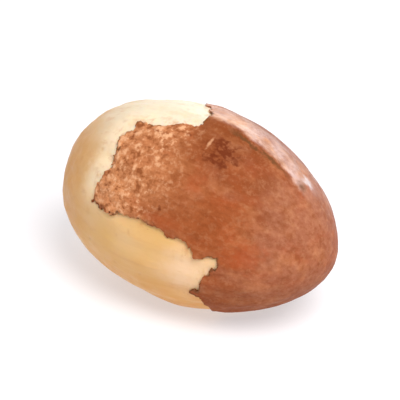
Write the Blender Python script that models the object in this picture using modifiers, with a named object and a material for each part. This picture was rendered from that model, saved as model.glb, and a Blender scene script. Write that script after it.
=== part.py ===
"""A brazil nut kernel lying on its base face, with its torn brown skin still on most of it.

X runs along the nut from the broad bare end to the narrow end, -Y is the side with the
largest torn edge, and Z is up. Places on the nut are given as a station, in mm from the
broad end, and an angle round it: 0 is the back, 90 the top ridge, 180 the front and 270
the underside.
"""

import math

import bmesh
import bpy
from mathutils import Matrix, Vector, noise

MM = 0.001

# Overall form, in mm
LENGTH = 31.2
CORNER_RADIUS = 10.19
FRONT_RADIUS = 10.13
BACK_RADIUS = 10.29
BASE_RADIUS = 11.27
FRONT_FACES = 150.0
BACK_FACES = 15.0
BASE_FACES = 270.0
EDGE_FIRMNESS = 5.4
TAPER = 0.05
FLARE = 0.047
BEND = 0.22

# Crest along the top ridge, in mm and degrees
CREST_ANGLE = 90.0
CREST_HEIGHT = 0.55
CREST_WIDTH = 1.9
CREST_ROUNDING = 0.25
CREST_START = 14.0
CREST_END = 29.5
CREST_FADE = 5.0

# Dents and lengthwise ribs, in mm
DENT_DEPTH = 0.22
DENT_SIZE = 6.5
RIB_HEIGHT = 0.05
RIBS_ROUND = 17
RIB_WANDER = 9.0

# Resting pose, in degrees, and the flat spot that it rests on, in mm
ROLL = 0.5
PITCH = 1.6
FLAT_SPOT_DEPTH = 0.25

# Skin, in mm
SKIN_THICKNESS = 0.5
SKIN_STANDS_PROUD = 0.3
BED_DEPTH = 0.5
EDGE_GAP = 0.3
TORN_WAVE = 0.22
TORN_WAVE_SIZE = 1.5

# Torn edge of the skin round the bare broad end: station in mm, angle in degrees.
# The front run, from 76 to 244 degrees, is the one in view. The rest closes it.
TORN_EDGE = (
    (14.7, 76), (15.3, 80), (16.4, 91), (16.3, 97), (14.7, 99), (13.1, 104),
    (11.3, 106), (10.1, 108), (9.9, 113), (8.9, 118), (9.3, 128), (9.4, 138),
    (8.8, 146), (8.4, 157), (8.6, 168), (10.4, 170), (12.4, 168), (15.0, 165),
    (17.0, 168), (20.6, 171), (21.4, 178), (23.4, 176), (23.7, 180), (22.2, 192),
    (21.7, 199), (20.2, 204), (21.5, 209), (22.0, 222), (21.2, 244), (22.6, 258),
    (23.6, 272), (22.2, 284), (20.6, 293), (18.4, 302), (15.2, 305), (14.4, 314),
    (14.8, 322), (12.6, 333), (10.6, 342), (10.2, 355), (11.4, 8), (10.8, 22),
    (12.6, 34), (12.2, 48), (13.8, 58), (13.4, 68),
)

# Mesh: squares along a side of the starting cube, and how far from the torn edge it is finer
SQUARES = 14
FINER_WITHIN = (1.1, 0.35)
SNAP_SHARE = 0.16
ON_LINE = 1e-5

HALF = LENGTH / 2


def section_radius(angle):
    """Radius of the rounded three-sided section at mid length, in mm."""
    inverse = CORNER_RADIUS ** -EDGE_FIRMNESS
    faces = (
        (FRONT_FACES, FRONT_RADIUS),
        (BACK_FACES, BACK_RADIUS),
        (BASE_FACES, BASE_RADIUS),
    )
    for facing, distance in faces:
        toward = max(0.0, math.cos(angle - math.radians(facing)))
        inverse += (toward / distance) ** EDGE_FIRMNESS
    return inverse ** (-1 / EDGE_FIRMNESS)


def smooth(value):
    value = min(max(value, 0.0), 1.0)
    return value * value * (3 - 2 * value)


def relief(x, angle, girth):
    """Height of the crest, ribs and dents over the plain form, in mm."""
    station = x + HALF
    across = math.remainder(angle - math.radians(CREST_ANGLE), math.tau) * girth
    reach = smooth((station - CREST_START) / CREST_FADE)
    reach *= smooth((CREST_END - station) / CREST_FADE)
    fall = math.hypot(across, CREST_ROUNDING) - CREST_ROUNDING
    crest = CREST_HEIGHT * reach * math.exp(-fall / CREST_WIDTH)
    around = Vector((0.0, math.cos(angle), math.sin(angle))) * girth
    wander = noise.noise((around + Vector((x, 0, 0))) / RIB_WANDER)
    ribs = RIB_HEIGHT * math.sin(RIBS_ROUND * angle + 5 * wander)
    dents = noise.noise((around + Vector((x, 0, 0))) / DENT_SIZE)
    ends = smooth((1 - abs(x) / HALF) / 0.25)
    return crest + ends * ribs + DENT_DEPTH * dents


def on_surface(x, angle):
    """The point of the nut's surface at this place, in mm, before it is laid down."""
    t = min(max(x / HALF, -1.0), 1.0)
    girth = section_radius(angle) * math.sqrt(1 - t * t)
    girth *= 1 - TAPER * t - FLARE * t * t
    girth += relief(x, angle, girth) * smooth(math.sqrt(1 - t * t) / 0.4)
    lift = BEND * (1 - t * t)
    return Vector((x, girth * math.cos(angle), girth * math.sin(angle) + lift))


def laid_down():
    turn = Matrix.Rotation(math.radians(PITCH), 3, "Y")
    return turn @ Matrix.Rotation(math.radians(ROLL), 3, "X")


def torn_line():
    """Closely spaced points along the torn edge: chart points, and points in space."""
    chart = []
    space = []
    for index, (station, degrees) in enumerate(TORN_EDGE):
        after, degrees_after = TORN_EDGE[(index + 1) % len(TORN_EDGE)]
        turn = math.remainder(degrees_after - degrees, 360)
        steps = 8
        for step in range(steps):
            share = step / steps
            s = station + (after - station) * share
            angle = math.radians(degrees + turn * share)
            chart.append((s * math.cos(angle), s * math.sin(angle)))
            space.append(on_surface(s - HALF, angle))
    return chart, space


def inside_chart(chart, x, y):
    inside = False
    previous = chart[-1]
    for current in chart:
        if (current[1] > y) != (previous[1] > y):
            slope = (previous[0] - current[0]) / (previous[1] - current[1])
            if x < current[0] + slope * (y - current[1]):
                inside = not inside
        previous = current
    return inside


def distance_to_line(point, space):
    """Distance in mm to the closed line through these points."""
    nearest = min(range(len(space)), key=lambda i: (space[i] - point).length_squared)
    found = (space[nearest] - point).length
    for other in (nearest - 1, (nearest + 1) % len(space)):
        start = space[nearest]
        along = space[other] - start
        share = min(max((point - start).dot(along) / along.length_squared, 0.0), 1.0)
        found = min(found, (start + along * share - point).length)
    return found


def skin_depth(direction, line):
    """How far into the skin this place is, in mm: below zero where the kernel is bare."""
    chart, space = line
    x = HALF * direction.x
    angle = math.atan2(direction.z, direction.y)
    point = on_surface(x, angle)
    station = x + HALF
    depth = distance_to_line(point, space)
    if inside_chart(chart, station * math.cos(angle), station * math.sin(angle)):
        depth = -depth
    return depth + TORN_WAVE * noise.noise(point / TORN_WAVE_SIZE)


def measure(bm, layer, line):
    for vert in bm.verts:
        if vert.tag:
            vert[layer] = skin_depth(vert.co, line)
            vert.tag = False


def ball_of_squares():
    """A unit ball made from a cube, so that it has no poles."""
    bm = bmesh.new()
    bmesh.ops.create_cube(bm, size=2.0)
    bmesh.ops.subdivide_edges(bm, edges=bm.edges[:], cuts=SQUARES - 1, use_grid_fill=True)
    for vert in bm.verts:
        even = [math.tan(value * math.pi / 4) for value in vert.co]
        vert.co = Vector(even).normalized()
    bmesh.ops.triangulate(bm, faces=bm.faces[:])
    return bm


def refine(bm, layer, line, within):
    """Halve the edges that lie close to the torn edge."""
    chosen = []
    for edge in bm.edges:
        first, second = (vert[layer] for vert in edge.verts)
        if min(abs(first), abs(second)) < within or first * second < 0:
            chosen.append(edge)
    old = set(bm.verts)
    bmesh.ops.subdivide_edges(bm, edges=chosen, cuts=1)
    bmesh.ops.triangulate(bm, faces=[f for f in bm.faces if len(f.verts) > 3])
    for vert in bm.verts:
        if vert not in old:
            vert.co.normalize()
            vert.tag = True
    measure(bm, layer, line)


def nut_surface():
    """The whole nut's surface, laid down, in mm, with each vertex's depth into the skin."""
    line = torn_line()
    bm = ball_of_squares()
    layer = bm.verts.layers.float.new("skin_depth")
    for vert in bm.verts:
        vert.tag = True
    measure(bm, layer, line)
    for within in FINER_WITHIN:
        refine(bm, layer, line, within)
    turn = laid_down()
    for vert in bm.verts:
        vert.co = turn @ on_surface(HALF * vert.co.x, math.atan2(vert.co.z, vert.co.y))
    lowest = min(vert.co.z for vert in bm.verts)
    bmesh.ops.translate(bm, verts=bm.verts[:], vec=(0, 0, -lowest - FLAT_SPOT_DEPTH))
    bm.normal_update()
    return bm


def cut_at_depth(bm, level):
    """Split the faces along the line where the depth into the skin has this value."""
    layer = bm.verts.layers.float["skin_depth"]
    for edge in bm.edges:
        low, high = sorted(edge.verts, key=lambda vert: vert[layer])
        if low[layer] > level - ON_LINE or high[layer] < level + ON_LINE:
            continue
        share = (level - low[layer]) / (high[layer] - low[layer])
        if share < SNAP_SHARE:
            low[layer] = level
        elif share > 1 - SNAP_SHARE:
            high[layer] = level
    crossing = []
    for edge in bm.edges:
        first, second = sorted(vert[layer] - level for vert in edge.verts)
        if first < -ON_LINE and second > ON_LINE:
            crossing.append(edge)
    for edge in crossing:
        start, end = edge.verts
        share = (level - start[layer]) / (end[layer] - start[layer])
        _, made = bmesh.utils.edge_split(edge, start, share)
        made[layer] = level
    on_line = [vert for vert in bm.verts if abs(vert[layer] - level) < ON_LINE]
    bmesh.ops.connect_verts(bm, verts=on_line)
    bmesh.ops.triangulate(bm, faces=[f for f in bm.faces if len(f.verts) > 3])
    bm.normal_update()


def faces_past_depth(bm, level):
    layer = bm.verts.layers.float["skin_depth"]
    level += ON_LINE
    return [f for f in bm.faces if sum(vert[layer] - level for vert in f.verts) > 0]


def cut_flat_spot(bm):
    geometry = bm.verts[:] + bm.edges[:] + bm.faces[:]
    cut = bmesh.ops.bisect_plane(
        bm, geom=geometry, dist=0.01, plane_co=(0, 0, 0), plane_no=(0, 0, -1), clear_outer=True
    )
    rim = [item for item in cut["geom_cut"] if isinstance(item, bmesh.types.BMEdge)]
    bmesh.ops.contextual_create(bm, geom=rim)
    bmesh.ops.triangulate(bm, faces=[f for f in bm.faces if len(f.verts) > 3])
    bm.normal_update()


def sink_skin_bed(bm):
    """Sink the faces under the skin straight into the kernel."""
    outward = bm.verts.layers.float_vector.new("outward")
    for vert in bm.verts:
        vert[outward] = vert.normal
    faces = faces_past_depth(bm, -EDGE_GAP)
    sunk = bmesh.ops.extrude_face_region(bm, geom=faces)["geom"]
    bmesh.ops.delete(bm, geom=faces, context="FACES")
    for item in sunk:
        if isinstance(item, bmesh.types.BMVert):
            item.co -= BED_DEPTH * item[outward]


def kernel_mesh(bm):
    cut_flat_spot(bm)
    cut_at_depth(bm, -EDGE_GAP)
    sink_skin_bed(bm)
    bmesh.ops.recalc_face_normals(bm, faces=bm.faces[:])


def skin_mesh(bm):
    cut_at_depth(bm, 0.0)
    kept = set(faces_past_depth(bm, 0.0))
    bare = [face for face in bm.faces if face not in kept]
    bmesh.ops.delete(bm, geom=bare, context="FACES")


def add_object(name, bm, collection, material):
    bmesh.ops.scale(bm, vec=(MM, MM, MM), verts=bm.verts[:])
    mesh = bpy.data.meshes.new(name)
    bm.to_mesh(mesh)
    bm.free()
    mesh.materials.append(material)
    mesh.shade_smooth()
    obj = bpy.data.objects.new(name, mesh)
    collection.objects.link(obj)
    return obj


def plain_material(name, colour, roughness):
    material = bpy.data.materials.new(name)
    material.use_nodes = True
    shader = material.node_tree.nodes["Principled BSDF"]
    shader.inputs["Base Color"].default_value = (*colour, 1.0)
    shader.inputs["Roughness"].default_value = roughness
    return material


def thicken(skin):
    """Give the skin its thickness, most of it outside the bare kernel's surface."""
    shell = skin.modifiers.new("thickness", "SOLIDIFY")
    shell.thickness = SKIN_THICKNESS * MM
    shell.offset = 2 * SKIN_STANDS_PROUD / SKIN_THICKNESS - 1


def centre_on_origin(objects):
    """Put the middle of the nut's box over the origin, with the flat spot at zero."""
    bpy.context.view_layer.update()
    graph = bpy.context.evaluated_depsgraph_get()
    corners = []
    for obj in objects:
        corners += [Vector(corner) for corner in obj.evaluated_get(graph).bound_box]
    middle_x = (min(c.x for c in corners) + max(c.x for c in corners)) / 2
    middle_y = (min(c.y for c in corners) + max(c.y for c in corners)) / 2
    for obj in objects:
        obj.data.transform(Matrix.Translation((-middle_x, -middle_y, 0)))


def main():
    for obj in list(bpy.data.objects):
        bpy.data.objects.remove(obj)
    collection = bpy.data.collections.new("brazil nut")
    bpy.context.scene.collection.children.link(collection)

    surface = nut_surface()
    kernel_form = surface.copy()
    kernel_mesh(kernel_form)
    skin_mesh(surface)

    cream = plain_material("kernel cream", (0.83, 0.66, 0.40), 0.45)
    brown = plain_material("skin brown", (0.30, 0.145, 0.085), 0.6)
    kernel = add_object("kernel", kernel_form, collection, cream)
    skin = add_object("skin", surface, collection, brown)
    thicken(skin)
    centre_on_origin([kernel, skin])


main()
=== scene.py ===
"""The looks of a brazil nut kernel that still wears most of its torn brown skin.

Two pieces are made, the cream flesh and the skin, each in place of its plain solid, and a
pale floor, soft lights and a camera. Places on the nut are given as a station, in mm from
the broad end, and an angle round it: 0 is the back, 90 the top ridge, 180 the front and
270 the underside.
"""

import functools
import math

import bmesh
import bpy
import numpy as np
from mathutils import Matrix, Vector, noise


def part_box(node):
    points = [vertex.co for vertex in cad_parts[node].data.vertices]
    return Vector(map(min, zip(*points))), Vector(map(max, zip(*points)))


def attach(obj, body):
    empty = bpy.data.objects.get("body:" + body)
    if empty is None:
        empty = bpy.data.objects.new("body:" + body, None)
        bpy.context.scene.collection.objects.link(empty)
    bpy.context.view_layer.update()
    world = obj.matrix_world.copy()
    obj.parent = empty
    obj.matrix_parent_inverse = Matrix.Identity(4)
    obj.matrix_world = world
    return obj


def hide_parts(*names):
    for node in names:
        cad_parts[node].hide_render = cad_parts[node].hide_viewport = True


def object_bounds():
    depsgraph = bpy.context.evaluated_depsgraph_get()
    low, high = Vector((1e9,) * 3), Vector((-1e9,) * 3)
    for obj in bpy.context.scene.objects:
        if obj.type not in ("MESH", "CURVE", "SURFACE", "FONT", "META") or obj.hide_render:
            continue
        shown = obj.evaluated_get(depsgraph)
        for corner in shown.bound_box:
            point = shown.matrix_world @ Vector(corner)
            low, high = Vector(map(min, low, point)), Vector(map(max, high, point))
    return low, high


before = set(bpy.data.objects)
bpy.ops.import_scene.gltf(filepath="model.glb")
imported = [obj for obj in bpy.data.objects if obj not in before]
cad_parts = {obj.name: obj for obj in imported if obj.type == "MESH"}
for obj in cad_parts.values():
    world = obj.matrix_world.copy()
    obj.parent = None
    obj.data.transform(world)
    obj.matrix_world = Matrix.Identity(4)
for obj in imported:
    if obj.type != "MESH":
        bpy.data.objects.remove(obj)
CAD_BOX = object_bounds()

bl_info = {
    "name": "Brazil nut",
    "version": (1, 0, 0),
    "blender": (4, 5, 0),
    "location": "3D View > Sidebar > Brazil nut",
    "description": "Makes a brazil nut's flesh and torn skin, with a floor, lights and camera",
    "category": "Object",
}

MM = 0.001

# Overall form, in mm, as in the solids. The section has three faces, each given by the angle
# that it faces and its distance from the middle
LENGTH = 31.2
HALF = LENGTH / 2
CORNER_RADIUS = 10.19
FACES = ((150.0, 10.13), (15.0, 10.29), (270.0, 11.27))
EDGE_FIRMNESS = 5.4
TAPER = 0.05
FLARE = 0.047
BEND = 0.22

# Crest along the top ridge, in mm and degrees
CREST_ANGLE = 90.0
CREST_HEIGHT = 0.55
CREST_WIDTH = 1.9
CREST_ROUNDING = 0.25
CREST_START = 14.0
CREST_END = 29.5
CREST_FADE = 5.0

# Dents and faint swaying ribs, in mm. The ribs fade over this share of each half of the nut,
# and all relief fades where the section is slimmer than the other share of the middle's
DENT_DEPTH = 0.22
DENT_SIZE = 6.5
RIB_HEIGHT = 0.05
RIBS_ROUND = 17
RIB_WANDER = 9.0
RIB_SWAY = 5.0
RIB_FADE = 0.25
TIP_FADE = 0.4

# How the nut lies: turned by these degrees, and flattened below by this many mm
ROLL = 0.5
PITCH = 1.6
FLAT_SPOT_DEPTH = 0.25
RESTING_TURN = np.array(
    Matrix.Rotation(math.radians(PITCH), 3, "Y") @ Matrix.Rotation(math.radians(ROLL), 3, "X")
)

# The torn edge: its corners, each a station and an angle, and a wave on it in mm
TORN_EDGE = (
    (14.7, 76), (15.3, 80), (16.4, 91), (16.3, 97), (14.7, 99), (13.1, 104),
    (11.3, 106), (10.1, 108), (9.9, 113), (8.9, 118), (9.3, 128), (9.4, 138),
    (8.8, 146), (8.4, 157), (8.6, 168), (10.4, 170), (12.4, 168), (15.0, 165),
    (17.0, 168), (20.6, 171), (21.4, 178), (23.4, 176), (23.7, 180), (22.2, 192),
    (21.7, 199), (20.2, 204), (21.5, 209), (22.0, 222), (21.2, 244), (22.6, 258),
    (23.6, 272), (22.2, 284), (20.6, 293), (18.4, 302), (15.2, 305), (14.4, 314),
    (14.8, 322), (12.6, 333), (10.6, 342), (10.2, 355), (11.4, 8), (10.8, 22),
    (12.6, 34), (12.2, 48), (13.8, 58), (13.4, 68),
)
TORN_WAVE = 0.22
TORN_WAVE_SIZE = 1.5

# Finer tearing along the edge, in mm: how far it is torn back past the line, the angular
# flakes and where their pattern starts, and the frayed rim of each
TORN_BACK = 0.16
FLAKE_REACH = 0.22
FLAKE_SIZE = 0.62
FLAKE_SHIFT = 8.0
FRAY_REACH = 0.15
FRAY_SIZE = 0.36

# Rough noise: how fast its finer steps weaken, how much finer each is, and how many
ROUGH_FADE = 0.7
ROUGH_STEP = 2.1
ROUGH_STEPS = 3

# Sandy grains of the skin, in mm. Clumps scale their height, within a range, a crumbly
# roughness lies on them, and a share of their height is left on the brown skin
PEBBLE_SIZE = 0.62
CLUMP_SIZE = 1.7
CLUMP_LEVEL = 0.75
CLUMP_CONTRAST = 0.9
CLUMP_RANGE = (0.2, 1.2)
CRUMBLE_SIZE = 1.6 * PEBBLE_SIZE
CRUMBLE_SHARE = 0.25
BROWN_GRAIN_SHARE = 0.22

# Fibres of the skin and veins of the flesh, in mm. They run lengthwise, this many times
# longer than wide
FIBRE_SIZE = 0.75
FIBRE_STRETCH = 5.0
VEIN_SIZE = 1.1
VEIN_STRETCH = 8.0

# Pits of the flesh: their spacing in mm, the value of the noise below which a pit starts,
# and how much lower the noise is where the pit has its full depth
PIT_SPACING = 2.2
PIT_START = -0.72
PIT_SLOPE = 0.2

# Inside the torn edge, in mm: where the flesh starts to sink and over what width, and the
# width over which the skin rises from its edge
SINK_START = 0.1
SINK_WIDTH = 0.6
RISE_WIDTH = 1.8

# Stretches of the edge that lift: their size in mm, and the noise that makes them
LIFT_SIZE = 2.4
LIFT_LEVEL = 0.5
LIFT_CONTRAST = 1.6

# The tan of the torn broad end gives way to brown between these stations, along a border
# that drifts to and fro, in mm
TAN_UNTIL = 9.0
BROWN_FROM = 21.0
TAN_DRIFT = 2.5
TAN_DRIFT_SIZE = 5.0

# Mesh: squares along a side of the starting cube, and how far from the torn edge, in mm,
# it is halved, once for each value
FLESH_SQUARES = 84
SKIN_SQUARES = 72
FINER_WITHIN = (0.5, 0.22)

# The line of the torn edge: points made for each of its corners, and how many places are
# measured from it at once
POINTS_PER_CORNER = 8
POINTS_AT_ONCE = 3000

# The cut along it: the share of a mesh edge within which its end is moved onto the line, the
# depth in mm that counts as on it, and the angle in degrees from which the rim stays crisp
SNAP_SHARE = 0.16
ON_LINE = 1e-5
RIM_ANGLE = 50.0

# Marks: station and angle of the middle, and half sizes along X, Y and Z in mm
BRUISE = (20.3, 107), (2.7, 2.3, 2.0)
SCRATCH = (18.7, 104), (0.24, 1.1, 0.7)
NICK = (16.7, 154), (0.38, 0.5, 0.6)
TOP_NICK = (16.2, 106), (0.5, 0.4, 0.4)
ORANGE_SPOT = (19.4, 131), (1.6, 1.5, 1.5)
RED_STREAK = (17.6, 162), (3.4, 1.6, 1.4)
RED_SIDE = (25.6, 168), (3.6, 2.5, 2.2)
PLUM_SPOT = (25.9, 106), (0.7, 0.6, 0.6)
# A painted glint near the narrow end, and painted shade beside it
PAINTED_GLINT = (27.1, 73), (1.1, 1.0, 0.9)
PAINTED_GLINT_SHADE = (27.3, 83), (1.3, 0.9, 0.8)
# Painted shade at the lifted torn edge, at its corner near the broad end
PAINTED_LIP_SHADE = (9.0, 169), (2.2, 1.5, 1.3)
# A peach patch on the front below the torn edge: partly a peach tint, partly painted light
PEACH_LIT_PATCH = (21.5, 188), (7.5, 4.0, 4.0)

# Sides of the zones of colour: an axis of the resting nut, and the places on it, in mm, where
# the zone starts and where it is full
# Painted shade: the flesh straw below the top, and amber round the broad end and low down
STRAW_SIDE = "Z", 19.2, 12.5
AMBER_END = "X", -5.0, -13.0
AMBER_FOOT = "Z", 9.0, 1.5
# Painted light: the flesh palest on top beside the torn edge, towards the broad end
IVORY_END = "X", -2.0, -5.0
IVORY_TOP = "Z", 9.5, 13.0
UMBER_SIDE = "X", -3.0, 5.0
# Painted shade: the skin darker low down
UMBER_FOOT = "Z", 8.0, 3.0
PLUM_END = "X", 8.5, 12.5
PLUM_CLOUDS = "X", 1.0, 7.0
# A painted shadow line just below the ridge's crest
RIDGE_SHADOW_LINE = ("X", 3.5, 5.5), ("X", 12.0, 9.0)
# The pale patch behind the ridge: partly dust, partly painted sheen
BLOOM_SHEEN_LENGTH = ("X", -3.0, 4.0), ("X", 14.0, 10.0)
BLOOM_SHEEN_TOP = "Z", 10.5, 15.5
PALEST_BLOOM_SHEEN = "X", 2.0, 7.5
RUBBED_TOP = "Z", 8.5, 15.0

# Share of the finest relief's true height that the materials show
BUMP_STRENGTH = 0.8

# Colours of the floor, and of the even light of the sky and of the floor's glow
FLOOR_WHITE = (0.50, 0.49, 0.51)
FLOOR_GREY = (0.48, 0.47, 0.49)
DAYLIGHT = (1.0, 0.99, 1.0, 1.0)

# Lights, in metres. A place is the distance above, behind and to the right of the nut, as
# the camera sees it
KEY_PLACE = (0.31, -0.20, 0.10)
KEY_WIDTH = 0.24
KEY_COLOUR = (1.0, 0.985, 0.96)
BACK_PLACE = (0.10, 0.42, 0.06)
BACK_WIDTH = 0.20
BACK_COLOUR = (0.96, 0.97, 1.0)

# Sky, between two values of a direction's Y part and of its Z part: along Y it brightens
# from before the nut to behind it, and down along Z it takes its strength at eye level
SKY_BRIGHTENS = (-0.8, 0.0)
SKY_LEVELS = (0.22, 0.04)


class FleshSettings(bpy.types.PropertyGroup):
    """The cream flesh."""

    cream: bpy.props.FloatVectorProperty(
        name="Cream", description="Colour of clean flesh", subtype="COLOR",
        default=(0.79, 0.69, 0.52), min=0, max=1,
    )
    # Ivory is painted light on the top of the flesh
    ivory: bpy.props.FloatVectorProperty(
        name="Ivory", description="Palest flesh, beside the torn edge at the broad end",
        subtype="COLOR", default=(0.93, 0.75, 0.52), min=0, max=1,
    )
    # Straw is the colour of the flesh's mottling, and also painted shade on its lower parts
    straw: bpy.props.FloatVectorProperty(
        name="Straw", description="Colour of the warmer lower parts", subtype="COLOR",
        default=(0.73, 0.435, 0.16), min=0, max=1,
    )
    # Amber is painted shade round the broad end and low down
    amber: bpy.props.FloatVectorProperty(
        name="Amber", description="Deeper colour round the broad end and low down",
        subtype="COLOR", default=(0.65, 0.30, 0.07), min=0, max=1,
    )
    # Peach is partly a tint of the flesh and partly painted light on the front
    peach: bpy.props.FloatVectorProperty(
        name="Peach", description="Colour of flesh bared last", subtype="COLOR",
        default=(0.84, 0.59, 0.38), min=0, max=1,
    )
    stain: bpy.props.FloatVectorProperty(
        name="Stain", description="Colour of traces of skin beside the torn edge",
        subtype="COLOR", default=(0.58, 0.27, 0.10), min=0, max=1,
    )
    vein_height: bpy.props.FloatProperty(
        name="Vein height", description="Height of the faint lengthwise veins",
        default=0.045 * MM, unit="LENGTH", precision=6,
    )
    pit_depth: bpy.props.FloatProperty(
        name="Pit depth", description="Depth of the few small pits", default=0.07 * MM,
        unit="LENGTH", precision=6,
    )
    sunk_under_skin: bpy.props.FloatProperty(
        name="Sunk under skin", description="How far the hidden flesh lies below the bare",
        default=0.25 * MM, unit="LENGTH", precision=6,
    )


class SkinSettings(bpy.types.PropertyGroup):
    """The torn brown skin."""

    thickness: bpy.props.FloatProperty(
        name="Thickness", description="Thickness of the skin", default=0.22 * MM,
        unit="LENGTH", precision=6,
    )
    height: bpy.props.FloatProperty(
        name="Height", description="Height over bare flesh, well inside the torn edge",
        default=0.30 * MM, unit="LENGTH", precision=6,
    )
    edge_height: bpy.props.FloatProperty(
        name="Edge height", description="Height over bare flesh at the torn edge",
        default=0.15 * MM, unit="LENGTH", precision=6,
    )
    edge_lift: bpy.props.FloatProperty(
        name="Edge lift", description="How much further the torn edge lifts in places",
        default=0.14 * MM, unit="LENGTH", precision=6,
    )
    pebble_height: bpy.props.FloatProperty(
        name="Pebble height", description="Height of the sandy grains at the broad end",
        default=0.10 * MM, unit="LENGTH", precision=6,
    )
    fibre_height: bpy.props.FloatProperty(
        name="Fibre height", description="Height of the fine lengthwise fibres",
        default=0.03 * MM, unit="LENGTH", precision=6,
    )
    brown: bpy.props.FloatVectorProperty(
        name="Brown", description="Main colour", subtype="COLOR",
        default=(0.31, 0.076, 0.021), min=0, max=1,
    )
    tan: bpy.props.FloatVectorProperty(
        name="Tan", description="Colour towards the torn broad end", subtype="COLOR",
        default=(0.66, 0.27, 0.11), min=0, max=1,
    )
    # Grain is the grains' own pale colour, and partly a painted highlight on their tops
    grain: bpy.props.FloatVectorProperty(
        name="Grain", description="Colour of the tops of the grains", subtype="COLOR",
        default=(0.78, 0.41, 0.22), min=0, max=1,
    )
    plum: bpy.props.FloatVectorProperty(
        name="Plum", description="Tint of the narrow end", subtype="COLOR",
        default=(0.33, 0.114, 0.058), min=0, max=1,
    )
    # Olive also paints the shadow line under the ridge and the shade beside the painted glint
    olive: bpy.props.FloatVectorProperty(
        name="Olive", description="Dark line of the ridge and of the torn rim",
        subtype="COLOR", default=(0.13, 0.048, 0.014), min=0, max=1,
    )
    rust: bpy.props.FloatVectorProperty(
        name="Rust", description="Warmer patches", subtype="COLOR",
        default=(0.37, 0.068, 0.017), min=0, max=1,
    )
    # Umber also paints shade low down and in the grains' hollows
    umber: bpy.props.FloatVectorProperty(
        name="Umber", description="Darker skin beside the ridge", subtype="COLOR",
        default=(0.21, 0.048, 0.010), min=0, max=1,
    )
    bruise: bpy.props.FloatVectorProperty(
        name="Bruise", description="Colour of dark marks", subtype="COLOR",
        default=(0.14, 0.022, 0.003), min=0, max=1,
    )
    # A pale patch behind the ridge: partly dust, partly painted sheen
    bloom_and_sheen: bpy.props.FloatVectorProperty(
        name="Bloom", description="Pale dusty bloom behind the ridge", subtype="COLOR",
        default=(0.68, 0.49, 0.45), min=0, max=1,
    )
    # A painted glint: a pale highlight near the narrow end
    painted_glint: bpy.props.FloatVectorProperty(
        name="Scuff", description="Pale scuff near the narrow end", subtype="COLOR",
        default=(0.72, 0.74, 0.78), min=0, max=1,
    )


class StageSettings(bpy.types.PropertyGroup):
    """Camera, lights and floor."""

    azimuth: bpy.props.FloatProperty(
        name="Azimuth", description="Camera's turn from the front towards +X",
        default=math.radians(37), subtype="ANGLE",
    )
    elevation: bpy.props.FloatProperty(
        name="Elevation", description="Camera's angle above the floor",
        default=math.radians(30), subtype="ANGLE",
    )
    distance: bpy.props.FloatProperty(
        name="Distance", description="From the camera to the middle of the nut",
        default=0.45, unit="LENGTH",
    )
    focal_length: bpy.props.FloatProperty(
        name="Focal length", description="Camera's focal length in mm, on a 36 mm sensor",
        default=405.0, unit="CAMERA",
    )
    floor_width: bpy.props.FloatProperty(
        name="Floor width", description="Width of the square floor", default=3.0,
        unit="LENGTH",
    )
    key_power: bpy.props.FloatProperty(
        name="Key power", description="Power of the large light above the camera",
        default=1.52, unit="POWER",
    )
    back_power: bpy.props.FloatProperty(
        name="Back power", description="Power of the low light behind the nut",
        default=0.20, unit="POWER",
    )
    sky_behind: bpy.props.FloatProperty(
        name="Sky behind", description="Strength of the even light from behind the nut",
        default=0.75,
    )
    sky_before: bpy.props.FloatProperty(
        name="Sky before", description="Strength of the even light from before the nut",
        default=0.15,
    )
    sky_level: bpy.props.FloatProperty(
        name="Sky level", description="Strength at eye level, where sky and floor meet",
        default=0.84,
    )


# The nut's form

def section_radius(angle):
    """Radius of the rounded three-sided section at mid length, in mm."""
    inverse = np.full(len(angle), CORNER_RADIUS ** -EDGE_FIRMNESS)
    for facing, distance in FACES:
        toward = np.maximum(0.0, np.cos(angle - math.radians(facing)))
        inverse += (toward / distance) ** EDGE_FIRMNESS
    return inverse ** (-1 / EDGE_FIRMNESS)


def smooth(value):
    """From 0 to 1 with a gentle start and end, as the value goes from 0 to 1."""
    value = np.clip(value, 0.0, 1.0)
    return value * value * (3 - 2 * value)


def noise_at(points, size, kind="PERLIN_ORIGINAL"):
    """Blender's noise at each point, in lumps of about this size."""
    places = (points / size).tolist()
    return np.array([noise.noise(place, noise_basis=kind) for place in places])


def rough_at(points, size, stretch=1.0):
    """Noise with finer noise on it, in lumps this wide and stretched lengthwise."""
    places = (points / (size * stretch, size, size)).tolist()
    return np.array(
        [noise.fractal(place, ROUGH_FADE, ROUGH_STEP, ROUGH_STEPS) for place in places]
    )


def flakes_at(points, size):
    """From -1 to 1, and all one value within each angular flake of about this size."""
    places = (points / size).tolist()
    return np.array([noise.cell(noise.voronoi(place)[1][0]) for place in places])


def relief(x, angle, girth):
    """Height of the crest, ribs and dents over the plain form, in mm."""
    station = x + HALF
    from_crest = angle - math.radians(CREST_ANGLE)
    across = np.arctan2(np.sin(from_crest), np.cos(from_crest)) * girth
    reach = smooth((station - CREST_START) / CREST_FADE)
    reach *= smooth((CREST_END - station) / CREST_FADE)
    fall = np.hypot(across, CREST_ROUNDING) - CREST_ROUNDING
    crest = CREST_HEIGHT * reach * np.exp(-fall / CREST_WIDTH)
    around = np.column_stack((x, girth * np.cos(angle), girth * np.sin(angle)))
    wander = noise_at(around, RIB_WANDER)
    ribs = RIB_HEIGHT * np.sin(RIBS_ROUND * angle + RIB_SWAY * wander)
    ends = smooth((1 - np.abs(x) / HALF) / RIB_FADE)
    return crest + ends * ribs + DENT_DEPTH * noise_at(around, DENT_SIZE)


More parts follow.
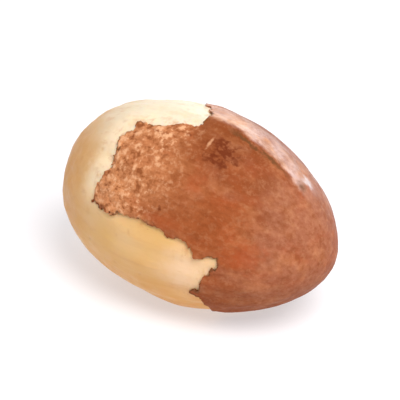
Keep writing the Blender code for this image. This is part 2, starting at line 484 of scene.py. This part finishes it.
def on_surface(x, angle):
    """Points of the nut's surface at these places, in mm, before it is laid down."""
    t = np.clip(x / HALF, -1.0, 1.0)
    slimming = np.sqrt(1 - t * t)
    girth = section_radius(angle) * slimming
    girth *= 1 - TAPER * t - FLARE * t * t
    girth += relief(x, angle, girth) * smooth(slimming / TIP_FADE)
    lift = BEND * (1 - t * t)
    return np.column_stack((x, girth * np.cos(angle), girth * np.sin(angle) + lift))


def form_points(directions):
    """The form's points, in mm, towards these points of the unit ball."""
    angle = np.arctan2(directions[:, 2], directions[:, 1])
    return on_surface(HALF * directions[:, 0], angle)


def tan_share(points):
    """1 where the skin is the grainy tan of the torn broad end, 0 where it is brown."""
    drift = TAN_DRIFT * noise_at(points, TAN_DRIFT_SIZE)
    return smooth((BROWN_FROM - HALF - points[:, 0] + drift) / (BROWN_FROM - TAN_UNTIL))


def pebbles(points):
    """From about -0.5 between the sandy grains to 0.5 on top of them."""
    lumps = -0.5 * noise_at(points, PEBBLE_SIZE, "VORONOI_F1")
    clumps = np.clip(CLUMP_LEVEL + CLUMP_CONTRAST * noise_at(points, CLUMP_SIZE), *CLUMP_RANGE)
    return lumps * clumps + CRUMBLE_SHARE * rough_at(points, CRUMBLE_SIZE)


# The torn edge

def torn_line():
    """Closely spaced stations and angles along the torn edge."""
    station, degrees = np.array(TORN_EDGE, float).T
    degrees = np.unwrap(np.append(degrees, degrees[0]), period=360)
    station = np.append(station, station[0])
    place = np.arange(0, len(TORN_EDGE), 1 / POINTS_PER_CORNER)
    corners = np.arange(len(station))
    return np.interp(place, corners, station), np.radians(np.interp(place, corners, degrees))


def distance_to_line(points, line):
    """Distance in mm from each point to the closed line."""
    along = np.roll(line, -1, axis=0) - line
    squared = (along ** 2).sum(axis=1)
    found = []
    for block in np.array_split(points, max(1, len(points) // POINTS_AT_ONCE)):
        offset = block[:, None] - line
        share = np.clip((offset * along).sum(axis=2) / squared, 0, 1)
        offset -= share[..., None] * along
        found.append(np.sqrt((offset ** 2).sum(axis=2).min(axis=1)))
    return np.concatenate(found)


def inside_chart(chart, x, y):
    """Whether each chart point lies inside the closed line."""
    inside = np.zeros(len(x), bool)
    for (x1, y1), (x2, y2) in zip(chart, np.roll(chart, -1, axis=0)):
        if y1 == y2:
            continue
        spans = (y1 > y) != (y2 > y)
        inside ^= spans & (x < x1 + (x2 - x1) * (y - y1) / (y2 - y1))
    return inside


def skin_depth(directions):
    """How far into the skin each place is, in mm: below zero where the flesh is bare."""
    points = form_points(directions)
    angle = np.arctan2(directions[:, 2], directions[:, 1])
    station, edge_angle = torn_line()
    depth = distance_to_line(points, on_surface(station - HALF, edge_angle))
    # A flat chart with the broad tip in its middle, so what is inside the line is bare
    chart = np.column_stack((station * np.cos(edge_angle), station * np.sin(edge_angle)))
    reach = points[:, 0] + HALF
    inside = inside_chart(chart, reach * np.cos(angle), reach * np.sin(angle))
    depth[inside] *= -1
    depth += TORN_WAVE * noise_at(points, TORN_WAVE_SIZE) - TORN_BACK
    depth += FLAKE_REACH * flakes_at(points + FLAKE_SHIFT, FLAKE_SIZE)
    return depth + FRAY_REACH * noise_at(points, FRAY_SIZE)


# Meshes

def mesh_points(bm):
    return np.array([vert.co[:] for vert in bm.verts])


def set_values(bm, name, values):
    """Keep a number for each vertex, under this name."""
    layer = bm.verts.layers.float.get(name) or bm.verts.layers.float.new(name)
    for vert, value in zip(bm.verts, values.tolist()):
        vert[layer] = value


def values_of(bm, name):
    layer = bm.verts.layers.float[name]
    return np.array([vert[layer] for vert in bm.verts])


def ball_of_squares(squares):
    """A unit ball made from a cube, so that it has no poles."""
    bm = bmesh.new()
    bmesh.ops.create_cube(bm, size=2.0)
    bmesh.ops.subdivide_edges(bm, edges=bm.edges[:], cuts=squares - 1, use_grid_fill=True)
    for vert in bm.verts:
        even = [math.tan(value * math.pi / 4) for value in vert.co]
        vert.co = Vector(even).normalized()
    bmesh.ops.triangulate(bm, faces=bm.faces[:])
    return bm


def measured_ball(squares):
    """A unit ball on which every vertex knows how far into the skin it is."""
    bm = ball_of_squares(squares)
    set_values(bm, "skin_depth", skin_depth(mesh_points(bm)))
    return bm


@functools.lru_cache
def resting_place():
    """How far the turned nut is moved, in mm, to lie where the plain kernel does."""
    bm = ball_of_squares(FLESH_SQUARES)
    lowest = (form_points(mesh_points(bm)) @ RESTING_TURN.T).min(axis=0)
    bm.free()
    return np.array(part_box("kernel")[0]) / MM - lowest - (0, 0, FLAT_SPOT_DEPTH)


def laid_down(points):
    """Points of the upright nut, turned and moved to where they are on the resting one."""
    return points @ RESTING_TURN.T + resting_place()


def mark_place(station, degrees):
    """A mark's place on the resting nut, in metres."""
    point = on_surface(np.array([station - HALF]), np.array([math.radians(degrees)]))
    return Vector(laid_down(point)[0] * MM)


def refine(bm, within):
    """Halve the edges that lie close to the torn edge."""
    layer = bm.verts.layers.float["skin_depth"]
    chosen = []
    for edge in bm.edges:
        first, second = (vert[layer] for vert in edge.verts)
        if min(abs(first), abs(second)) < within or first * second < 0:
            chosen.append(edge)
    old = set(bm.verts)
    bmesh.ops.subdivide_edges(bm, edges=chosen, cuts=1)
    bmesh.ops.triangulate(bm, faces=[f for f in bm.faces if len(f.verts) > 3])
    new = [vert for vert in bm.verts if vert not in old]
    for vert in new:
        vert.co.normalize()
    depths = skin_depth(np.array([vert.co[:] for vert in new]))
    for vert, depth in zip(new, depths.tolist()):
        vert[layer] = depth


def cut_at_torn_edge(bm):
    """Split the faces along the line where the depth into the skin is zero."""
    layer = bm.verts.layers.float["skin_depth"]
    for edge in bm.edges:
        low, high = sorted(edge.verts, key=lambda vert: vert[layer])
        if low[layer] > -ON_LINE or high[layer] < ON_LINE:
            continue
        share = -low[layer] / (high[layer] - low[layer])
        if share < SNAP_SHARE:
            low[layer] = 0.0
        elif share > 1 - SNAP_SHARE:
            high[layer] = 0.0
    crossing = []
    for edge in bm.edges:
        first, second = sorted(vert[layer] for vert in edge.verts)
        if first < -ON_LINE and second > ON_LINE:
            crossing.append(edge)
    for edge in crossing:
        start, end = edge.verts
        share = -start[layer] / (end[layer] - start[layer])
        _, made = bmesh.utils.edge_split(edge, start, share)
        made[layer] = 0.0
    on_line = [vert for vert in bm.verts if abs(vert[layer]) < ON_LINE]
    bmesh.ops.connect_verts(bm, verts=on_line)
    bmesh.ops.triangulate(bm, faces=[f for f in bm.faces if len(f.verts) > 3])


def delete_bare_faces(bm):
    """Leave only the faces that the skin covers."""
    layer = bm.verts.layers.float["skin_depth"]
    bare = [f for f in bm.faces if sum(vert[layer] for vert in f.verts) < ON_LINE]
    bmesh.ops.delete(bm, geom=bare, context="FACES")


def open_pinches(bm):
    """Cut the skin free wherever two stretches of its rim meet in one point."""
    while True:
        pinched = {v for v in bm.verts if sum(edge.is_boundary for edge in v.link_edges) > 2}
        if not pinched:
            return
        touching = [face for face in bm.faces if pinched.intersection(face.verts)]
        bmesh.ops.delete(bm, geom=touching, context="FACES")


def keep_largest_piece(bm):
    """Drop the specks that the fraying leaves beside the skin."""
    pieces = []
    seen = set()
    for start in bm.faces:
        if start in seen:
            continue
        seen.add(start)
        piece = [start]
        for face in piece:
            for edge in face.edges:
                for neighbour in edge.link_faces:
                    if neighbour not in seen:
                        seen.add(neighbour)
                        piece.append(neighbour)
        pieces.append(piece)
    pieces.sort(key=len)
    for piece in pieces[:-1]:
        bmesh.ops.delete(bm, geom=piece, context="FACES")


def lay_on_form(bm):
    """Give the ball the nut's form where it rests, in mm, and return the upright form."""
    upright = form_points(mesh_points(bm))
    for vert, point in zip(bm.verts, laid_down(upright).tolist()):
        vert.co = point
    bm.normal_update()
    return upright


def offset_along_normals(bm, heights):
    moved = [vert.co + vert.normal * height for vert, height in zip(bm.verts, heights.tolist())]
    for vert, place in zip(bm.verts, moved):
        vert.co = place


def flesh_mesh(settings):
    """The flesh's whole surface, sunk where the skin covers it, with veins and pits."""
    bm = measured_ball(FLESH_SQUARES)
    upright = lay_on_form(bm)
    depth = values_of(bm, "skin_depth")
    sunk = settings.sunk_under_skin * smooth((depth - SINK_START) / SINK_WIDTH)
    veins = settings.vein_height * rough_at(upright, VEIN_SIZE, VEIN_STRETCH)
    hollow = smooth((PIT_START - noise_at(upright, PIT_SPACING, "VORONOI_F1")) / PIT_SLOPE)
    offset_along_normals(bm, (veins - sunk - settings.pit_depth * hollow) / MM)
    set_values(bm, "pit", hollow)
    # What lies below the floor is flattened onto it, which makes the flat spot
    for vert in bm.verts:
        vert.co.z = max(vert.co.z, 0.0)
    return bm


def skin_mesh(settings):
    """The skin's outer face, torn back, with its pebbles, fibres and lifted edge."""
    bm = measured_ball(SKIN_SQUARES)
    for within in FINER_WITHIN:
        refine(bm, within)
    cut_at_torn_edge(bm)
    delete_bare_faces(bm)
    open_pinches(bm)
    keep_largest_piece(bm)
    upright = lay_on_form(bm)
    inward = smooth(values_of(bm, "skin_depth") / RISE_WIDTH)
    stretches = smooth(LIFT_LEVEL + LIFT_CONTRAST * noise_at(upright, LIFT_SIZE))
    height = settings.edge_height + settings.edge_lift * stretches * (1 - inward)
    height += (settings.height - settings.edge_height) * inward
    tan = tan_share(upright)
    grains = pebbles(upright)
    sandy = BROWN_GRAIN_SHARE + (1 - BROWN_GRAIN_SHARE) * tan
    height += settings.pebble_height * grains * sandy
    height += settings.fibre_height * rough_at(upright, FIBRE_SIZE, FIBRE_STRETCH)
    offset_along_normals(bm, height / MM)
    set_values(bm, "tan_share", tan)
    set_values(bm, "grain", grains)
    # The upright nut's Y in mm, which is above zero behind the ridge
    set_values(bm, "past_ridge", upright[:, 1])
    return bm


def object_from(bm, name, material):
    """An object of this mesh, which is in mm, with its material."""
    bmesh.ops.scale(bm, vec=(MM, MM, MM), verts=bm.verts[:])
    mesh = bpy.data.meshes.new(name)
    bm.to_mesh(mesh)
    bm.free()
    mesh.materials.append(material)
    mesh.shade_smooth()
    obj = bpy.data.objects.new(name, mesh)
    bpy.context.scene.collection.objects.link(obj)
    return obj


def give_thickness(obj, thickness):
    """Solidify inwards, and keep the torn rim crisp."""
    shell = obj.modifiers.new("thickness", "SOLIDIFY")
    shell.thickness = thickness
    shell.offset = -1
    bpy.context.view_layer.update()
    graph = bpy.context.evaluated_depsgraph_get()
    mesh = bpy.data.meshes.new_from_object(obj.evaluated_get(graph))
    obj.modifiers.clear()
    obj.data = mesh
    mesh.set_sharp_from_angle(angle=math.radians(RIM_ANGLE))


# Material nodes. Sizes and places are in mm

def new_material(name):
    material = bpy.data.materials.new(name)
    material.use_nodes = True
    tree = material.node_tree
    return material, tree, tree.nodes["Principled BSDF"]


def feed(tree, socket, value):
    """Link a socket to this value, or set it where the value is a plain one."""
    if isinstance(value, bpy.types.NodeSocket):
        tree.links.new(value, socket)
    elif hasattr(value, "__len__") and len(socket.default_value) == 4:
        socket.default_value = (*value, 1.0)
    else:
        socket.default_value = value


def object_point(tree, stretch=(1, 1, 1), centre=(0, 0, 0)):
    """Object coordinates measured from a centre and scaled by stretch."""
    where = tree.nodes.new("ShaderNodeTexCoord")
    mapping = tree.nodes.new("ShaderNodeMapping")
    mapping.inputs["Location"].default_value = [-c * s for c, s in zip(centre, stretch)]
    mapping.inputs["Scale"].default_value = stretch
    tree.links.new(where.outputs["Object"], mapping.inputs["Vector"])
    return mapping.outputs["Vector"]


def attribute(tree, name):
    """The number kept for each vertex under this name."""
    node = tree.nodes.new("ShaderNodeAttribute")
    node.attribute_name = name
    return node.outputs["Fac"]


def noise_field(tree, size, along=1.0, detail=3.0, roughness=0.55, distortion=0.0):
    """A noise in lumps of this size, drawn out lengthwise where along is below 1."""
    node = tree.nodes.new("ShaderNodeTexNoise")
    feed(tree, node.inputs["Vector"], object_point(tree, (along, 1, 1)))
    node.inputs["Scale"].default_value = 1 / (size * MM)
    node.inputs["Detail"].default_value = detail
    node.inputs["Roughness"].default_value = roughness
    node.inputs["Distortion"].default_value = distortion
    return node.outputs["Fac"]


def ramp(tree, value, start, end):
    """From 0 where the value is at start to 1 where it is at end, smoothly."""
    node = tree.nodes.new("ShaderNodeMapRange")
    node.interpolation_type = "SMOOTHSTEP"
    feed(tree, node.inputs["Value"], value)
    node.inputs["From Min"].default_value = start
    node.inputs["From Max"].default_value = end
    return node.outputs["Result"]


def patches(tree, size, start, end, **kind):
    """A noise of this size made into patches, from 0 at its value start to 1 at end."""
    return ramp(tree, noise_field(tree, size, **kind), start, end)


def calculate(tree, operation, first, second):
    node = tree.nodes.new("ShaderNodeMath")
    node.operation = operation
    feed(tree, node.inputs[0], first)
    feed(tree, node.inputs[1], second)
    return node.outputs["Value"]


def product(tree, first, *others):
    for other in others:
        first = calculate(tree, "MULTIPLY", first, other)
    return first


def between(tree, share, low, high):
    """From low to high as the share goes from 0 to 1."""
    return calculate(tree, "ADD", product(tree, share, high - low), low)


def blend(tree, share, first, second):
    """The first colour, giving way to the second as share goes from 0 to 1."""
    node = tree.nodes.new("ShaderNodeMix")
    node.data_type = "RGBA"
    feed(tree, node.inputs["Factor"], share)
    feed(tree, node.inputs["A"], first)
    feed(tree, node.inputs["B"], second)
    return node.outputs["Result"]


def tint(tree, colour, other, *shares):
    """The colour, tinted with another by the product of these shares."""
    return blend(tree, product(tree, *shares), colour, other[:])


def zone(tree, *sides):
    """1 within all of these sides of a zone, and 0 outside it."""
    shares = []
    for axis, start, end in sides:
        split = tree.nodes.new("ShaderNodeSeparateXYZ")
        feed(tree, split.inputs["Vector"], object_point(tree))
        shares.append(ramp(tree, split.outputs[axis], start * MM, end * MM))
    return product(tree, *shares)


def mark_share(tree, mark, ragged, core=0.35):
    """0 outside a mark's ellipsoid, and 1 within its core, a share of its size."""
    (station, degrees), size = mark
    stretch = [1 / (length * MM) for length in size]
    length = tree.nodes.new("ShaderNodeVectorMath")
    length.operation = "LENGTH"
    centre = mark_place(station, degrees)
    feed(tree, length.inputs[0], object_point(tree, stretch, centre))
    distance = calculate(tree, "ADD", length.outputs["Value"], ragged)
    return ramp(tree, distance, 1.0, core)


def raggedness(tree, size, strength):
    """A noise about zero that makes an outline uneven."""
    return product(
        tree, calculate(tree, "SUBTRACT", noise_field(tree, size, detail=4.0), 0.5), strength
    )


def bump(tree, distance, first, second):
    """Two noises together as a fine relief of this height."""
    node = tree.nodes.new("ShaderNodeBump")
    feed(tree, node.inputs["Height"], calculate(tree, "ADD", first, second))
    node.inputs["Distance"].default_value = distance * MM
    node.inputs["Strength"].default_value = BUMP_STRENGTH
    return node.outputs["Normal"]


# Materials

def flesh_colour(tree, settings):
    """Cream on top, with painted shade: straw below it, and amber low down and round the broad
    end.
    """
    drift = between(tree, patches(tree, 8.0, 0.30, 0.55, detail=2.0), 0.8, 1.0)
    warm = product(tree, zone(tree, STRAW_SIDE), drift)
    colour = blend(tree, warm, settings.cream[:], settings.straw[:])
    deep = calculate(tree, "MAXIMUM", zone(tree, AMBER_END), zone(tree, AMBER_FOOT))
    uneven = between(tree, patches(tree, 4.0, 0.25, 0.65, along=0.5), 0.60, 0.95)
    colour = tint(tree, colour, settings.amber, deep, warm, uneven)

    # Painted light: palest beside the torn edge on top. Below, a peach patch on the front,
    # partly its own tint and partly painted light
    depth = attribute(tree, "skin_depth")
    beside = ramp(tree, calculate(tree, "ADD", depth, raggedness(tree, 2.0, 1.5)), -3.6, -0.8)
    clean = product(tree, beside, zone(tree, IVORY_END), zone(tree, IVORY_TOP))
    colour = tint(tree, colour, settings.ivory, clean, 0.85)
    peach_lit = mark_share(tree, PEACH_LIT_PATCH, raggedness(tree, 3.0, 0.8), core=0.0)
    colour = tint(tree, colour, settings.peach, peach_lit, 0.9)

    # Mottling and lengthwise lines
    colour = tint(tree, colour, settings.straw, patches(tree, 1.3, 0.48, 0.75), 0.25)
    lines = patches(tree, 0.9, 0.52, 0.72, along=0.12, detail=4.0, roughness=0.6)
    colour = tint(tree, colour, settings.stain, lines, 0.30)

    # Traces of skin: a patchy stain, a thin line and crumbs beside the torn edge; and the pits
    # darkened
    stained = ramp(tree, depth, -2.2, -0.05)
    patchy = patches(tree, 1.4, 0.50, 0.72, detail=4.0, roughness=0.7)
    colour = tint(tree, colour, settings.stain, stained, patchy, 0.6)
    colour = tint(tree, colour, settings.stain, ramp(tree, depth, -0.2, 0.0), 0.35)
    crumbs = patches(tree, 0.45, 0.70, 0.76, detail=2.0, roughness=0.6)
    colour = tint(tree, colour, settings.stain, crumbs, ramp(tree, depth, -3.0, -0.5), 0.6)
    return tint(tree, colour, settings.stain, attribute(tree, "pit"), 0.4)


def flesh_material(settings):
    """Waxy nut flesh, with fine pores and lengthwise grooves."""
    material, tree, shader = new_material("nut flesh")
    feed(tree, shader.inputs["Base Color"], flesh_colour(tree, settings))
    dull = patches(tree, 2.0, 0.35, 0.7, detail=4.0)
    feed(tree, shader.inputs["Roughness"], between(tree, dull, 0.34, 0.54))
    shader.inputs["Specular IOR Level"].default_value = 0.25
    shader.inputs["Subsurface Weight"].default_value = 0.35
    shader.inputs["Subsurface Radius"].default_value = (1.0, 0.55, 0.25)
    shader.inputs["Subsurface Scale"].default_value = 0.9 * MM
    pores = noise_field(tree, 0.5, detail=4.0)
    grooves = noise_field(tree, 0.4, along=0.1)
    feed(tree, shader.inputs["Normal"], bump(tree, 0.04, pores, grooves))
    return material


def skin_colour(tree, settings):
    """Tan at the torn broad end, brown in the middle, plum at the narrow end."""
    tan = attribute(tree, "tan_share")
    colour = blend(tree, tan, settings.brown[:], settings.tan[:])
    before_ridge = ramp(tree, attribute(tree, "past_ridge"), -6.0, -2.0)
    colour = tint(tree, colour, settings.umber, before_ridge, zone(tree, UMBER_SIDE), 0.85)
    colour = tint(tree, colour, settings.plum, zone(tree, PLUM_END), 0.9)

    # Clouds and patches, fibres, pale patches and flecks, from broad to fine
    cloudy = patches(tree, 3.5, 0.45, 0.70, along=0.6, roughness=0.6, distortion=0.8)
    colour = tint(tree, colour, settings.plum, cloudy, zone(tree, PLUM_CLOUDS), 0.6)
    warm = patches(tree, 2.8, 0.42, 0.78, along=0.6, roughness=0.6, distortion=0.5)
    colour = tint(tree, colour, settings.rust, warm, 0.45)
    dusky = patches(tree, 1.3, 0.46, 0.70, along=0.6, detail=4.0, roughness=0.65)
    colour = tint(tree, colour, settings.umber, dusky, 0.45)
    fibres = patches(tree, 0.55, 0.48, 0.70, along=0.2, detail=4.0, roughness=0.65)
    colour = tint(tree, colour, settings.umber, fibres, 0.45)
    pale = patches(tree, 1.7, 0.44, 0.72, along=0.5, roughness=0.6)
    colour = tint(tree, colour, settings.tan, pale, 0.22)
    flecks = noise_field(tree, 0.50, along=0.7, roughness=0.65)
    colour = tint(tree, colour, settings.umber, ramp(tree, flecks, 0.50, 0.66), 0.30)
    colour = tint(tree, colour, settings.grain, ramp(tree, flecks, 0.47, 0.34), 0.08)
    # Painted shade: darker low down
    colour = tint(tree, colour, settings.umber, zone(tree, UMBER_FOOT), 0.45)

    # Pale tops and dark hollows of the sandy grains, many on the tan and few on the brown.
    # Partly the grains' own colour, partly painted highlight on the tops and painted shade in
    # the hollows
    fine = calculate(tree, "SUBTRACT", noise_field(tree, 0.35, roughness=0.7), 0.5)
    grain = calculate(tree, "ADD", attribute(tree, "grain"), product(tree, fine, 1.5))
    many = between(tree, ramp(tree, tan, 0.0, 0.8), 0.08, 1.0)
    colour = tint(tree, colour, settings.grain, ramp(tree, grain, -0.05, 0.40), many)
    return tint(tree, colour, settings.umber, ramp(tree, grain, -0.10, -0.42), many, 0.75)


def ridge_shadow_line_and_sheen(tree, settings, colour):
    """A painted shadow line along the ridge, and a pale patch on the slope behind it, partly
    dust and partly painted sheen.
    """
    past = calculate(tree, "ADD", attribute(tree, "past_ridge"), raggedness(tree, 1.4, 1.6))
    # Painted shadow line just below the ridge's crest
    dark = product(
        tree, ramp(tree, past, -0.45, -0.25), ramp(tree, past, 0.05, -0.12),
        zone(tree, *RIDGE_SHADOW_LINE),
    )
    broken = patches(tree, 0.9, 0.35, 0.55, along=0.6, roughness=0.6)
    colour = tint(tree, colour, settings.olive, dark, broken, 0.85)
    # The pale patch behind the ridge: partly dust, partly painted sheen
    behind = product(
        tree, ramp(tree, past, 0.0, 0.6), ramp(tree, past, 5.0, 0.8),
        zone(tree, *BLOOM_SHEEN_LENGTH), zone(tree, BLOOM_SHEEN_TOP),
    )
    dusty = patches(tree, 1.1, 0.30, 0.65, along=0.6, detail=4.0, roughness=0.65)
    wear_and_sheen_patches = patches(tree, 1.8, 0.25, 0.60, along=0.6, roughness=0.6)
    pale = tint(tree, settings.grain[:], settings.bloom_and_sheen, zone(tree, PALEST_BLOOM_SHEEN), wear_and_sheen_patches)
    return blend(tree, product(tree, behind, between(tree, dusty, 0.35, 0.90)), colour, pale)


def skin_marks(tree, settings, colour):
    """The bruise with its scratch, nicks and warm spots, a painted glint with painted shade
    beside it, the darkened torn edge, and painted shade at its lip.
    """
    ragged = raggedness(tree, 0.8, 1.6)
    # Warm and dark spots, and a painted glint with painted shade beside it
    for mark, share, other in (
        (ORANGE_SPOT, 0.5, settings.rust), (RED_STREAK, 0.5, settings.rust),
        (RED_SIDE, 0.6, settings.rust), (PLUM_SPOT, 0.8, settings.umber),
        (BRUISE, 0.45, settings.umber), (PAINTED_GLINT_SHADE, 0.9, settings.olive),
        (PAINTED_GLINT, 0.9, settings.painted_glint),
    ):
        colour = tint(tree, colour, other, mark_share(tree, mark, ragged, core=0.0), share)
    strokes = patches(tree, 0.6, 0.43, 0.56, along=0.6, roughness=0.6)
    bruised = mark_share(tree, BRUISE, ragged, core=0.4)
    colour = tint(tree, colour, settings.bruise, strokes, bruised, 0.90)
    slight = raggedness(tree, 0.4, 1.1)
    colour = tint(tree, colour, settings.grain, mark_share(tree, SCRATCH, slight), 0.55)
    for mark in (NICK, TOP_NICK):
        colour = tint(tree, colour, settings.bruise, mark_share(tree, mark, slight))

    depth = attribute(tree, "skin_depth")
    broken = patches(tree, 2.2, 0.44, 0.58)
    colour = tint(tree, colour, settings.olive, ramp(tree, depth, 0.30, 0.02), broken, 0.7)
    # Painted shade at the lifted torn edge, at its corner near the broad end
    lip_shade = mark_share(tree, PAINTED_LIP_SHADE, ragged)
    return tint(tree, colour, settings.bruise, ramp(tree, depth, 0.55, 0.15), lip_shade, 0.85)


def skin_material(settings):
    """Dry brown seed skin with a fine grain, and smoother behind the ridge."""
    material, tree, shader = new_material("torn skin")
    colour = ridge_shadow_line_and_sheen(tree, settings, skin_colour(tree, settings))
    feed(tree, shader.inputs["Base Color"], skin_marks(tree, settings, colour))
    dull = patches(tree, 1.5, 0.35, 0.7, detail=4.0)
    feed(tree, shader.inputs["Roughness"], between(tree, dull, 0.52, 0.68))
    shader.inputs["Specular IOR Level"].default_value = 0.10
    past = attribute(tree, "past_ridge")
    rubbed = product(
        tree, ramp(tree, past, -0.2, 0.8), ramp(tree, past, 6.5, 3.0), zone(tree, RUBBED_TOP)
    )
    scuffs = patches(tree, 1.2, 0.25, 0.6, along=0.6, detail=4.0, roughness=0.6)
    feed(tree, shader.inputs["Coat Weight"], product(tree, rubbed, scuffs, 0.7))
    shader.inputs["Coat Roughness"].default_value = 0.28
    fine = noise_field(tree, 0.30, detail=4.0, roughness=0.65)
    fibres = noise_field(tree, 0.6, along=0.2, detail=4.0)
    feed(tree, shader.inputs["Normal"], bump(tree, 0.06, fine, fibres))
    return material


def floor_material():
    """A white table lit a little from below, so that shadows on it stay pale."""
    material, tree, shader = new_material("white floor")
    faint = product(tree, noise_field(tree, 40.0, detail=1.0), 0.4)
    feed(tree, shader.inputs["Base Color"], blend(tree, faint, FLOOR_WHITE, FLOOR_GREY))
    shader.inputs["Emission Color"].default_value = DAYLIGHT
    shader.inputs["Emission Strength"].default_value = 0.5
    shader.inputs["Roughness"].default_value = 0.9
    shader.inputs["Specular IOR Level"].default_value = 0.2
    return material


# Floor, sky, lights and camera

def add_floor(stage):
    bm = bmesh.new()
    half = stage.floor_width / 2 / MM
    bmesh.ops.create_grid(bm, x_segments=2, y_segments=2, size=half)
    floor = object_from(bm, "floor", floor_material())


def set_sky(stage):
    """A plain sky, bright behind the nut and at the floor's edge, darker before the nut."""
    world = bpy.data.worlds.new("even light")
    bpy.context.scene.world = world
    world.use_nodes = True
    tree = world.node_tree
    background = tree.nodes["Background"]
    background.inputs["Color"].default_value = DAYLIGHT
    where = tree.nodes.new("ShaderNodeTexCoord")
    split = tree.nodes.new("ShaderNodeSeparateXYZ")
    tree.links.new(where.outputs["Generated"], split.inputs["Vector"])
    behind = ramp(tree, split.outputs["Y"], *SKY_BRIGHTENS)
    strength = between(tree, behind, stage.sky_before, stage.sky_behind)
    level = ramp(tree, split.outputs["Z"], *SKY_LEVELS)
    missing = calculate(tree, "SUBTRACT", stage.sky_level, strength)
    strength = calculate(tree, "ADD", strength, product(tree, level, missing))
    feed(tree, background.inputs["Strength"], strength)


def look_at(obj, target):
    obj.rotation_euler = (target - obj.location).to_track_quat("-Z", "Y").to_euler()


def toward_camera(stage):
    """Unit vector from the nut to the camera."""
    flat = math.cos(stage.elevation)
    return Vector((
        flat * math.sin(stage.azimuth),
        -flat * math.cos(stage.azimuth),
        math.sin(stage.elevation),
    ))


def add_light(name, place, target, width, power, colour):
    """A round light that the camera doesn't see."""
    light = bpy.data.lights.new(name, "AREA")
    light.shape = "DISK"
    light.size = width
    light.energy = power
    light.color = colour
    obj = bpy.data.objects.new(name, light)
    obj.location = place
    obj.visible_camera = False
    look_at(obj, target)
    bpy.context.scene.collection.objects.link(obj)


def add_lights(stage, target):
    """A large light high in front and to the camera's right, and a low one behind the nut."""
    up = Vector((0, 0, 1))
    back = -toward_camera(stage)
    back.z = 0
    back.normalize()
    right = Vector((math.cos(stage.azimuth), math.sin(stage.azimuth), 0))
    for name, place, width, power, colour in (
        ("key", KEY_PLACE, KEY_WIDTH, stage.key_power, KEY_COLOUR),
        ("backlight", BACK_PLACE, BACK_WIDTH, stage.back_power, BACK_COLOUR),
    ):
        above, behind, aside = place
        where = target + above * up + behind * back + aside * right
        add_light(name, where, target, width, power, colour)


def add_camera(stage, target):
    camera = bpy.data.cameras.new("camera")
    camera.lens = stage.focal_length
    camera.sensor_width = 36.0
    camera.clip_start = 0.01
    obj = bpy.data.objects.new("camera", camera)
    obj.location = target + toward_camera(stage) * stage.distance
    look_at(obj, target)
    bpy.context.scene.collection.objects.link(obj)
    bpy.context.scene.camera = obj


class NUT_OT_flesh(bpy.types.Operator):
    """Make the cream flesh in place of the plain kernel"""

    bl_idname = "nut.flesh"
    bl_label = "Nut flesh"

    def execute(self, context):
        settings = context.scene.nut_flesh
        piece = object_from(flesh_mesh(settings), "nut_flesh", flesh_material(settings))
        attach(piece, "root")
        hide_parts("kernel")
        return {"FINISHED"}


class NUT_OT_skin(bpy.types.Operator):
    """Make the torn skin in place of the plain one"""

    bl_idname = "nut.skin"
    bl_label = "Torn skin"

    def execute(self, context):
        settings = context.scene.nut_skin
        piece = object_from(skin_mesh(settings), "torn_skin", skin_material(settings))
        give_thickness(piece, settings.thickness)
        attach(piece, "root")
        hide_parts("skin")
        return {"FINISHED"}


class NUT_OT_stage(bpy.types.Operator):
    """Set the floor, the lights and the camera"""

    bl_idname = "nut.stage"
    bl_label = "Floor, lights and camera"

    def execute(self, context):
        stage = context.scene.nut_stage
        middle = (Vector(CAD_BOX[0]) + Vector(CAD_BOX[1])) / 2
        add_floor(stage)
        set_sky(stage)
        add_lights(stage, middle)
        add_camera(stage, middle)
        context.scene.view_settings.view_transform = "Standard"
        return {"FINISHED"}


# Each operator, with the name and the class of its settings
STEPS = (
    (NUT_OT_flesh, "nut_flesh", FleshSettings),
    (NUT_OT_skin, "nut_skin", SkinSettings),
    (NUT_OT_stage, "nut_stage", StageSettings),
)


class NUT_PT_panel(bpy.types.Panel):
    """Makes each piece of the nut, and its stage"""

    bl_label = "Brazil nut"
    bl_idname = "NUT_PT_panel"
    bl_space_type = "VIEW_3D"
    bl_region_type = "UI"
    bl_category = "Brazil nut"

    def draw(self, context):
        for operator, group, settings_class in STEPS:
            box = self.layout.box()
            box.operator(operator.bl_idname)
            settings = getattr(context.scene, group)
            for name in settings_class.__annotations__:
                box.prop(settings, name)


def register():
    for operator, group, settings_class in STEPS:
        bpy.utils.register_class(settings_class)
        bpy.utils.register_class(operator)
        setattr(bpy.types.Scene, group, bpy.props.PointerProperty(type=settings_class))
    bpy.utils.register_class(NUT_PT_panel)


def unregister():
    bpy.utils.unregister_class(NUT_PT_panel)
    for operator, group, settings_class in reversed(STEPS):
        delattr(bpy.types.Scene, group)
        bpy.utils.unregister_class(operator)
        bpy.utils.unregister_class(settings_class)


def main():
    register()
    bpy.ops.nut.flesh()
    bpy.ops.nut.skin()
    bpy.ops.nut.stage()


if __name__ == "__main__":
    main()
